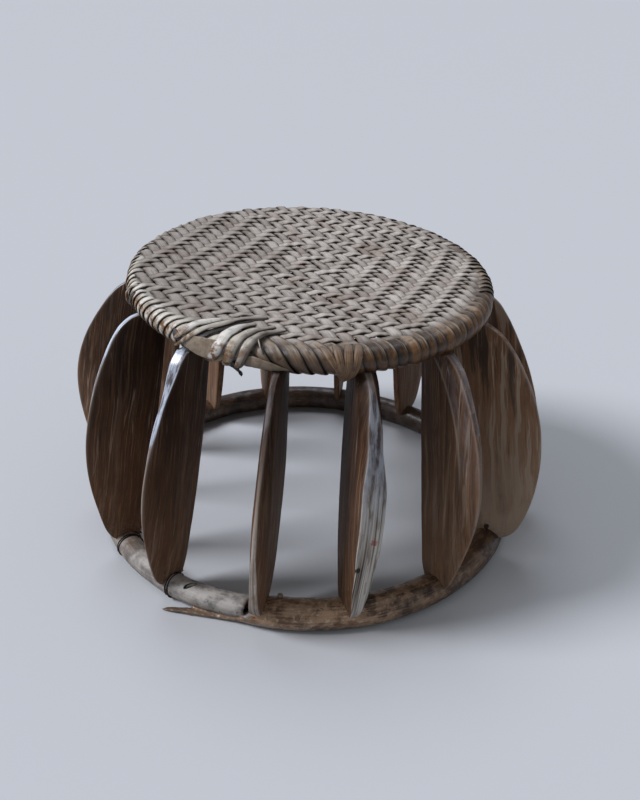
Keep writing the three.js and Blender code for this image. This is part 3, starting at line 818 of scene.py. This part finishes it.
for number, (azimuth, turned, phase) in enumerate(((-57.2, 2.3, 0.5), (-36.2, 2.6, 1.2))):
    sweep = pale_end - azimuth
    wire = new_piece(f"wire_lashing_{number + 1}", bmesh.new())
    settle(
        wire, lash_tree, iron, Turns=turned, Pole=pole_radius(sweep), Middle=pole_middle(sweep),
        Azimuth=radians(azimuth), Phase=phase,
    )
    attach(wire, "root")
    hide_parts(f"foot_lashing_{number + 1}")


# Seat hoop: a bundle of thick canes bent to an oval, hidden under the woven skin but for its
# inner side.
seat_place = (
    Matrix.Translation(stool_middle + Vector((0, seat_back, seat_height)))
    @ Matrix.Rotation(rake, 4, "X")
    @ Matrix.Rotation(lean, 4, "Y")
)


def on_oval(turn, out, up):
    return seat_place @ Vector((out * sin(turn), -out * cos(turn) * deepen, up))


rings = []
for azimuth in turns(180):
    ring = []
    for turn in turns(36):
        radius = (7.6 + 0.5 * cos(5 * turn + azimuth * 4)) * mm
        ring.append(on_oval(azimuth, rim_ring + radius * cos(turn), radius * sin(turn)))
    rings.append(ring)
hoop_cane = grained(
    "bundled_cane", (260, 4, 0.6), (0.3, 0.7), ("#3c2a1d", "#7d6143"), (0.55, 0.85), 0.4 * mm
)
seat_hoop = lofted("seat_ring", rings, hoop_cane, closed=True)
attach(seat_hoop, "root")
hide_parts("seat_hoop")


# Woven seat: flat strips split from cane, woven over two and under two in a diamond round the
# middle, then turned over the seat hoop so that one family of strips at a time shows on the
# rim. The strips end inside the hoop.
weave_middle = Vector((9, 10)) * mm
dish_ring = 145.5 * mm
dish_depth = 4 * mm
strip_steps = 210
strip_sides = 11


def strip_tree(name, own_family, cross_family, outer_way, over):
    """Strips of one family. Each is a closed flat tube that follows a straight line of the
    unrolled seat, and the unrolled seat is bent over the dish and the rim."""
    tree, size, start = new_tree(
        name, Count=46, First=-21, Cover=1.05, Thickness=2.0 * mm, Rise=1.25 * mm,
        Bow=1.3 * mm, Wander=0.9 * mm, Reach=232 * mm, Seed=1.0,
    )
    index = start.add("GeometryNodeInputIndex")
    row = (index / strip_sides).math("FLOOR")
    side = index - row * strip_sides
    grid = start.add("GeometryNodeMeshGrid", Vertices_X=strip_steps, Vertices_Y=strip_sides)
    grid = grid.store("share", row / (strip_steps - 1))
    grid = grid.store("turn", side / (strip_sides - 1) * tau)
    points = start.add("GeometryNodePoints", Count=size["Count"])
    points = points.store("strip", index + size["First"])
    strips = start.add("GeometryNodeInstanceOnPoints", Points=points, Instance=grid)
    strips = start.add("GeometryNodeRealizeInstances", Geometry=strips)
    share, turn, strip = (
        start.add("GeometryNodeInputNamedAttribute", Name=label)
        for label in ("share", "turn", "strip")
    )
    own_seed = strip * 7.13 + size["Seed"]
    luck = start.add("ShaderNodeTexWhiteNoise", {"noise_dimensions": "1D"}, W=own_seed)

    # where the strip's line lies in the unrolled seat
    way, own_step, own_drift = own_family
    cross_way, cross_step, cross_drift = cross_family
    along_x, along_y = cos(radians(way)), sin(radians(way))
    cross_x, cross_y = cos(radians(cross_way)), sin(radians(cross_way))
    own = strip * own_step + strip * strip * own_drift
    base_x = own * cross_x + weave_middle.x
    base_y = own * cross_y + weave_middle.y
    near = base_x * along_x + base_y * along_y
    square = base_x * base_x + base_y * base_y
    half = (near * near - square + size["Reach"] * size["Reach"]).math("MAXIMUM", 0.0).math("SQRT")
    travel = (share * 2 - 1) * half - near

    def unevenness(scale, spread, seed):
        """Noise along a strip, of its own for each strip."""
        return start.grain(travel * scale, strip * spread, size["Seed"] + seed, 2) - 0.5

    # a strip wanders a little from its line, and its width varies
    drift, narrow = unevenness(14, 3.7, 0), unevenness(20, 2.9, 9)
    flat_x = base_x + travel * along_x
    flat_y = base_y + travel * along_y
    far = (flat_x * flat_x + flat_y * flat_y).math("SQRT")
    facing = flat_y.math("ARCTAN2", flat_x)
    folds_at = (facing + radians(65)).math("COSINE") * (-10 * mm) + 172 * mm
    rimness = (far - folds_at).smooth(0, 13 * mm)
    width = size["Cover"] / 2 * (strip * (2 * own_drift) + own_step)
    width = width * (luck * 0.18 + narrow * 0.35 + 0.9) * (1 + rimness * (luck * 0.3 + 0.1))
    cosine, sine = turn.math("COSINE"), turn.math("SINE")
    side_x = cosine.math("SIGN") * abs(cosine).math("POWER", 0.85)
    side_z = sine.math("SIGN") * abs(sine).math("POWER", 0.9)
    sideways = side_x * width + drift * size["Wander"] * (rimness * 3 + 2)
    plane_x = flat_x + sideways * cross_x
    plane_y = flat_y + sideways * cross_y

    # over or under: a cell's own count and its row's, from the middle out
    skewed = along_x * cross_y - along_y * cross_x
    run = (flat_x - weave_middle.x) * (cross_y / skewed)
    run = run + (flat_y - weave_middle.y) * (-cross_x / skewed)
    root = (run * (4 * cross_drift) + cross_step * cross_step).math("MAXIMUM", 0.0).math("SQRT")
    cell = (root - cross_step) / (2 * cross_drift)

    def lies(number):
        phase = (abs(strip) + abs(number) + over).math("FLOORED_MODULO", 4.0)
        return (phase < 1.5) * 2 - 1

    before = cell.math("FLOOR")
    part = cell - before
    low, high = lies(before), lies(before + 1)
    lift = part.smooth(0.28, 0.72) * (high - low) + low
    floats = (low * high) * 0.5 + 0.5
    crest = floats * (part * pi).math("SINE") * lift

    # on the rim the family nearer to radial lies outside
    angle = plane_y.math("ARCTAN2", plane_x) - radians(outer_way)
    outer = (angle * 2).math("COSINE").smooth(-0.12, 0.12, -1, 1)
    lift = rimness * (outer - lift) + lift
    flat_tilt = (drift * 1.6 + (luck - 0.5)) * (1 - rimness) * 0.7
    tilt = side_x * (flat_tilt + rimness * (luck * 1.0 + 0.9)) * mm
    height = lift * size["Rise"] + crest * (1 - rimness) * size["Bow"] + tilt
    height = height + unevenness(30, 5.3, 4) * (0.5 * mm)
    height = height + side_z * (size["Thickness"] / 2) - 1.4 * mm

    # bend the unrolled seat over the dish and the rim
    plane_far = (plane_x * plane_x + plane_y * plane_y).math("SQRT")
    dish = 1 - (plane_far / dish_ring).math("MINIMUM", 1.0).math("POWER", 2.0)
    over_rim = (plane_far - rim_ring).math("MAXIMUM", 0.0) / rim_radius
    around_radius = rim_radius + height
    out = plane_far.math("MINIMUM", rim_ring) + around_radius * over_rim.math("SINE")
    up = around_radius * over_rim.math("COSINE") - dish * dish_depth
    bent = start.vector(out * plane_x / plane_far, out * plane_y / plane_far * deepen, up)
    beyond = (square - near * near).math("SQRT") > 196 * mm
    strips = strips.moved(Position=bent)
    strips = start.add("GeometryNodeDeleteGeometry", Geometry=strips, Selection=beyond)
    for label, value in (
        ("along", travel), ("lift", lift), ("tone", luck), ("across", side_x), ("rimness", rimness),
        ("over_rim", over_rim), ("crest", crest),
    ):
        strips = strips.store(label, value)
    strips = start.add("GeometryNodeMergeByDistance", Geometry=strips, Distance=0.02 * mm)
    close_tree(tree, strips, size)
    return tree


weave_cane, shader, place = new_material("weathered_cane", Specular_IOR_Level=0.5)
x, y, z = place.parts()
along, lift, tone, across, rimness, strip, over_rim, crest = place.named(
    "along lift tone across rimness strip over_rim crest"
)
azimuth = (x - stool_middle.x).math("ARCTAN2", (y - stool_middle.y - seat_back) * -1)
fibre = place.grain(along * 40, across * 3.6, strip * 11, 4, 0.6)
hair = place.grain(along * 60, across * 11, strip * 7, 2)
run = place.grain(along * 22, strip * 5.1, 0, 3, 0.6)
stain = place.noise(24, 3, 0.6)
mottle = place.noise(130, 4, 0.65)
speck = place.noise(600, 3, 0.7)
aside = abs(across)

# on the seat: paler along the crown of each float and darker at its sides and ends, partly
# rubbed wear and partly painted light and shade; the pale fibres are strongest on the crown
crown = lift.smooth(-0.1, 0.7) * (crest * 0.3 + 0.7) * aside.smooth(0.95, 0.15)
shade = run * 0.5 + tone * 0.25 + fibre * 0.25
top = coats(
    (shade.smooth(0.34, 0.64) * 0.5 + crown * 0.6).tint("#786c61", "#cdc4b9"),
    (hair.smooth(0.54, 0.7) * (crown * 0.5 + 0.25), "#ded8d0"),
    (hair.smooth(0.45, 0.32) * 0.55, "#5c5047"),
    (mottle.smooth(0.5, 0.7) * 0.45, "#76675a"),
    (stain.smooth(0.5, 0.7) * 0.45, "#7d6450"),
    ((x + (stain - 0.5) * (140 * mm)).smooth(0, -150 * mm) * 0.35, "#5e4f42"),
)

# on the rim: ivory at the left of the front, grey-brown before, then amber and dark brown
wander = (stain - 0.5) * 0.5
wandering = azimuth + wander
ivory = wandering.smooth(-2.3, -1.5) * wandering.smooth(-0.12, -0.42)
below = (over_rim + (mottle - 0.5) * 0.8).smooth(-0.1, 0.7)
amber = wandering.smooth(-0.15, 0.3) * (below * 0.55 + 0.45)
shade = run * 0.36 + tone * 0.32 + hair * 0.32
deep = coats(
    shade.smooth(0.32, 0.62).tint("#322115", "#8f704e"),
    (hair.smooth(0.52, 0.64) * 0.65, "#bd9f76"),
    (hair.smooth(0.46, 0.35) * 0.6, "#20140c"),
)
folded = coats(
    shade.smooth(0.34, 0.64).tint("#5a4839", "#b8a793"),
    (hair.smooth(0.46, 0.36) * 0.5, "#3a2c22"),
    (ivory, shade.smooth(0.25, 0.6).tint("#c0b6a3", "#f4f0e6")),
    (amber, deep),
)
browner = (azimuth + wander * 0.6).smooth(-0.5, 0.3) * (over_rim.smooth(-0.1, 0.9) * 0.5 + 0.5)
glow = mottle.smooth(0.4, 0.56) * over_rim.smooth(0.3, 1.1) * (amber * 0.7 + ivory * 0.95 + 0.15)
blot = (stain * 0.5 + mottle * 0.5).smooth(0.53, 0.63)
# painted shade on the right of the rim, away from the window
right_shade = (azimuth + wander * 0.5).smooth(-0.45, 0.35) * run.smooth(0.62, 0.36) * 0.6
under = (over_rim + (run - 0.5) * 0.8).smooth(0.5, 1.7)
raised = across.smooth(0.5, 0.75) * across.smooth(1, 0.9) * hair.smooth(0.42, 0.55)
folded = coats(
    browner.tint(folded, (0.5, 0.42, 0.36, 1), "MULTIPLY"),
    (glow * 0.9, amber.tint("#845b2e", "#9c6a33")),
    (blot * (0.7 - ivory * 0.35), "#35261c"),
    (mottle.smooth(0.54, 0.64) * (0.6 - ivory * 0.35), "#2e2017"),
    (right_shade * (over_rim.smooth(-0.1, 0.5) * 0.5 + 0.5), "#2b1d13"),
    (under * (0.8 - ivory * 0.6 - amber * 0.35), "#4d341d"),
    # painted shade where each strip of the rim dips under its neighbour's raised edge, and a
    # painted highlight along that raised edge
    (across.smooth(0.1, -0.5) * (0.9 - ivory * 0.65), "#1c130c"),
    (raised * over_rim.smooth(1.2, 0.4) * 0.55, "#d3c2a8"),
)
spot = place.distance((-0.0155, 0.0105, 0.2825)) + (mottle - 0.5) * (9 * mm)
# painted shade where a strip dives under the strips that cross it
depth = lift.smooth(0.2, -0.8) * (0.9 - x.smooth(0, 90 * mm) * 0.4) * (1 - rimness * 0.4)
# painted shade along the sides of each strip, where it meets its neighbours
edge_shade = aside.smooth(0.62, 0.95) * (run.smooth(0.35, 0.6) * 0.5 + 0.4)
cane = coats(
    rimness.tint(top, folded),
    (spot.smooth(9 * mm, 4 * mm) * 0.3, "#a8766c"),
    (depth, "#1d1713"),
    (edge_shade * (1 - ivory * rimness * 0.45), "#2c221b"),
    (speck.smooth(0.62, 0.74) * 0.4, "#4a3c31"),
)
roughness = fibre.between(0.32, 0.6) - rimness * 0.1
join(
    shader, Base_Color=cane, Roughness=roughness, Normal=(fibre + hair * 0.5).bump(0.5 * mm, 0.8)
)

# each family's way across the seat in degrees and the width of its middle strip, with how much
# narrower each next strip is; the rim's part where it lies outside; the weave's count
first, second = (-59.0, 11.0 * mm, -0.04 * mm), (19.0, 9.9 * mm, -0.053 * mm)
for name, *facts in (
    ("strips_first", first, second, -60, 0), ("strips_second", second, first, 30, 2),
):
    host = new_piece(name, bmesh.new())
    settle(host, strip_tree(name, *facts), weave_cane)
    host.data.transform(seat_place)
    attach(host, "root")
    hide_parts("woven_seat")


# Loose strips of the rim: at the left of the front some strips have come loose. Two long ones
# are drawn aside into a tuck, a bare cane of the hoop shows below them, and three broad strip
# ends hang over it like fingers.
loose_steps = 40
loose_sides = 20


def on_seat(azimuth, far, height):
    """A place over the woven seat, from its distance along the unrolled seat."""
    bend = max(far * mm - rim_ring, 0) / rim_radius
    dish = max(1 - (far * mm / dish_ring) ** 2, 0) * dish_depth
    around_radius = rim_radius + height * mm
    out = min(far * mm, rim_ring) + around_radius * sin(bend)
    return on_oval(radians(azimuth), out, around_radius * cos(bend) - dish)


def along_knots(knots, share):
    """A smooth row of values along evenly spaced rows."""
    count = len(knots) - 1
    number = min(int(share * count), count - 1)
    t = share * count - number
    weights = (
        (2 * t * t - t - t**3) / 2, (3 * t**3 - 5 * t * t + 2) / 2,
        (4 * t * t + t - 3 * t**3) / 2, (t**3 - t * t) / 2,
    )
    rows = [knots[min(max(number + k, 0), count)] for k in (-1, 0, 1, 2)]
    return [sum(w * value for w, value in zip(weights, values)) for values in zip(*rows)]


def seat_strip(name, knots, thickness, number, material, dark=False):
    """A closed flat strip that lies along knots of azimuth, distance, height and width."""
    rings, facts = [], []
    travel = 0
    tone = number * 0.37 % 1
    for step in range(loose_steps + 1):
        share = step / loose_steps
        azimuth, far, height, width = along_knots(knots, share)
        after = on_seat(*along_knots(knots, min(share + 0.01, 1))[:3])
        before = on_seat(*along_knots(knots, max(share - 0.01, 0))[:3])
        here = on_seat(azimuth, far, height)
        off = (on_seat(azimuth, far, height + 1) - here).normalized()
        sideways = (after - before).normalized().cross(off).normalized()
        bend = max(far * mm - rim_ring, 0) / rim_radius
        # a dark strip lies low all along, so that the weave's painted dip shade makes it near black
        lies, folded = (-1.0, 0.0) if dark else (1.0, smoothstep(far, 150, 168))
        ring = []
        for turn in turns(loose_sides):
            across = cos(turn)
            crown = (1 - across * across) * 0.35
            wave = 0.25 * sin(step * 0.45 + number) * across
            upwards = sin(turn) * thickness / 2 + crown + wave
            ring.append(here + (sideways * across * width / 2 + off * upwards) * mm)
            facts.append((travel, lies, tone, across, folded, bend, number + 60, 0.5))
        rings.append(ring)
        travel += (after - before).length * 1.25
    piece = lofted(name, rings, material)
    store(piece, "along lift tone across rimness over_rim strip crest", facts)
    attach(piece, "root")
    return piece


# azimuth in degrees, then distance, height and width in millimetres
# dark ribbons of painted shadow, laid under the loose strips and the fingers and in two holes of
# the weave
shadow_ribbons = (
    (
        (-17, 133, 0.9, 3), (-23.5, 151, 1.5, 5), (-26.5, 169, 1.9, 7), (-29, 183, 2.1, 7),
        (-32, 192, 2.1, 6), (-36, 200, 1.8, 5),
    ),
    ((-27, 194, 1.9, 4), (-24, 191, 2.7, 10), (-19, 190, 2.7, 14), (-15.5, 190, 1.8, 8)),
    ((-36.5, 206, 1.2, 3), (-33, 206, 1.6, 8), (-28, 206, 1.6, 9), (-22, 205, 1.4, 8)),
    ((-63.5, 187, 1.2, 3), (-64.5, 193, 2.3, 6), (-65, 199, 2.4, 7), (-65.5, 207, 1.2, 4)),
    ((-39.5, 190, 1, 3), (-38, 194, 1.6, 7), (-35.5, 195, 1.6, 6), (-33.5, 193, 1, 3)),
)
loose_strips = (
    # the two long ones, that run to the tuck
    (
        (-17.5, 131, 0.8, 4), (-24.5, 149, 3.2, 6.5), (-28, 168, 4, 8), (-30.5, 182, 4.2, 7),
        (-33.5, 191, 4, 4.5), (-39, 203, 3.2, 2),
    ),
    (
        (-26, 147, 0.8, 5), (-30, 160, 3.2, 8), (-33, 174, 3.9, 10), (-34.5, 184, 4, 9),
        (-36, 190, 3.9, 6), (-38, 195, 3.4, 3),
    ),
    # the three fingers
    (
        (-19.5, 148, 0.8, 6), (-22.3, 162, 3.2, 9), (-23.3, 177, 3.9, 11), (-23.8, 188, 4, 11),
        (-25.3, 198, 3.9, 9), (-29, 209, 3.4, 6),
    ),
    (
        (-12.5, 147, 0.8, 6), (-17.3, 163, 3.2, 9), (-19, 177, 3.9, 10.5), (-20, 187, 4, 10.5),
        (-20.8, 196, 3.9, 9), (-23, 208, 3.2, 6),
    ),
    (
        (-8.5, 150, 0.8, 5), (-13.6, 165, 3.2, 8), (-15.2, 177, 3.9, 10), (-16.3, 187, 4, 9.5),
        (-17.3, 196, 3.9, 8), (-19.5, 207, 3.2, 5),
    ),
    # a thin pale one beside them
    ((-16.5, 170, 1.6, 1.2), (-15, 176, 3.4, 1.8), (-13.6, 182, 3.4, 1.8), (-12, 189, 1.6, 1.2)),
    # one that stands upright beside the left blade's top
    ((-67.5, 182, 0.8, 3), (-67.6, 190, 3.4, 3.6), (-67.4, 198, 3.6, 3.4), (-67, 207, 1.2, 2.4)),
)
for label, rows, thickness, dark in (
    ("painted_shadow", shadow_ribbons, 0.8, True), ("loose_strip", loose_strips, 1.7, False),
):
    for number, knots in enumerate(rows):
        name = f"{label}_{number + 1}"
        piece = seat_strip(name, knots, thickness, number, weave_cane, dark)
        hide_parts("woven_seat")

# the dark end of a strip that hangs below the rim
knots = ((-22.5, 199, 1, 8), (-20.3, 204, 2.5, 11), (-18.8, 207, 5.5, 9), (-17.8, 207, 8.5, 4))
tail_end = seat_strip("dark_tail", knots, 2.6, 3, weave_cane, dark=True)
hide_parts("woven_seat")

bare_cane, shader, place = new_material("bare_cane")
grain = place.noise(240, 4, 0.6)
[bend] = place.named("over_rim")
smooth_wood = coats(
    grain.smooth(0.35, 0.65).tint("#83725f", "#a08f7b"),
    # painted shade where the cane turns under the rim and where it runs in under the strips
    (bend.smooth(1.5, 2.3), "#33271e"),
    (bend.smooth(0.75, 0.5), "#2c221b"),
)
join(
    shader, Base_Color=smooth_wood, Roughness=grain.between(0.4, 0.65), Normal=grain.bump(0.2 * mm)
)
bare_canes = (
    (
        (-37, 195, 0.9, 2), (-34.5, 195, 1.9, 11), (-29, 194.5, 2.0, 18), (-24, 194, 1.8, 18),
        (-22, 194, 0.9, 8),
    ),
    ((-18.5, 197, 0.9, 3), (-15, 196, 1.8, 10), (-10.5, 197.5, 1.9, 9), (-5, 200, 1.2, 2)),
)
for number, knots in enumerate(bare_canes):
    piece = seat_strip(f"bare_hoop_{number + 1}", knots, 1.2, number, bare_cane)
    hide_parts("seat_hoop")


# Rim tab: strip ends drawn together to a point and nailed under the rim. Only the nail's hole
# is left.
tab_cane, shader, place = new_material("folded_strip")
along, across, strip = place.named("along across strip")
fibre = place.grain(along * 30, across * 5, strip * 3, 4, 0.6)
fold = coats(
    fibre.smooth(0.35, 0.65).tint("#594130", "#96795a"),
    (place.noise(120, 4, 0.65).smooth(0.5, 0.68) * 0.7, "#4a321f"),
    (along.smooth(16 * mm, 5 * mm) * 0.75, "#7a6a5c"),
    (abs(across).smooth(0.7, 1) * 0.7, "#2a1c12"),
    # the nail's hole: a dark dot of painted shade
    (place.distance(on_seat(11.5, 197, 3)).smooth(1.6 * mm, 1 * mm), "#0d0906"),
)
join(shader, Base_Color=fold, Roughness=fibre.between(0.4, 0.7), Normal=fibre.bump(0.3 * mm))
tab_folds = (
    (
        (3, 176, 0.8, 6), (4.6, 185, 2.2, 7.5), (6, 192, 2.8, 7), (7.4, 198, 3, 5),
        (8.6, 206, 5.5, 2.5),
    ),
    (
        (7, 175, 0.8, 6), (7.3, 184, 2.6, 7.5), (7.8, 191, 3.4, 7.5), (8.4, 199, 3.8, 6),
        (9, 207, 6.5, 3),
    ),
    (
        (11, 174, 0.8, 7), (10.3, 183, 2.6, 8), (9.9, 191, 3.4, 8), (9.6, 200, 3.8, 7),
        (9.3, 208, 6.5, 3.5),
    ),
    (
        (13.8, 175, 0.8, 6), (12.9, 185, 2.2, 8), (12.1, 192, 2.9, 8), (11.3, 200, 3.4, 7),
        (10, 207, 5.5, 3.5),
    ),
)
for number, knots in enumerate(tab_folds):
    piece = seat_strip(f"tab_fold_{number + 1}", knots, 1.8, number, tab_cane)
    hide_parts("rim_tab")


# Floor and light: a plain pale floor in an even pale room, lit softly from high on the left.
floor_form = bmesh.new()
bmesh.ops.create_grid(floor_form, x_segments=1, y_segments=1, size=200)
floor_paint, shader, start = new_material("plain_floor", Roughness=0.9, Specular_IOR_Level=0.1)
rays = start.add("ShaderNodeLightPath", out="Is Camera Ray")
seen = rays + rays.other("Is Glossy Ray") + rays.other("Is Transmission Ray")
join(shader, Base_Color=seen.tint("#8b8c8d", "#cdcfd1"))
floor = new_piece("floor", floor_form, floor_paint)

world = bpy.data.worlds.new("room")
world.use_nodes = True
background = world.node_tree.nodes["Background"]
background.inputs["Color"].default_value = colour("#e3e7ee")
background.inputs["Strength"].default_value = 0.36
start = Wire(world.node_tree)
rays = start.add("ShaderNodeLightPath", out="Is Camera Ray")
lit = Wire(world.node_tree, background.outputs[0])
behind = start.add("ShaderNodeBackground", inputs={0: colour("#c3c8d2"), 1: 1.0})
both = start.add("ShaderNodeMixShader", inputs={0: rays, 1: lit, 2: behind})
world.node_tree.links.new(both.socket, world.node_tree.nodes["World Output"].inputs[0])
scene.world = world

for name, spread, energy, code, way in (
    ("window", 20, 2.5, "#f4f6ff", (1.0, 0.1, -0.85)),
    ("skylight", 30, 0.65, "#eef2ff", (0.15, -0.4, -0.95)),
):
    light_data = bpy.data.lights.new(name, "SUN")
    light_data.angle = radians(spread)
    light_data.energy = energy
    light_data.color = colour(code)[:3]
    light = bpy.data.objects.new(name, light_data)
    light.rotation_euler = Vector(way).to_track_quat("-Z", "Y").to_euler()
    scene.collection.objects.link(light)

scene.view_settings.view_transform = "Standard"
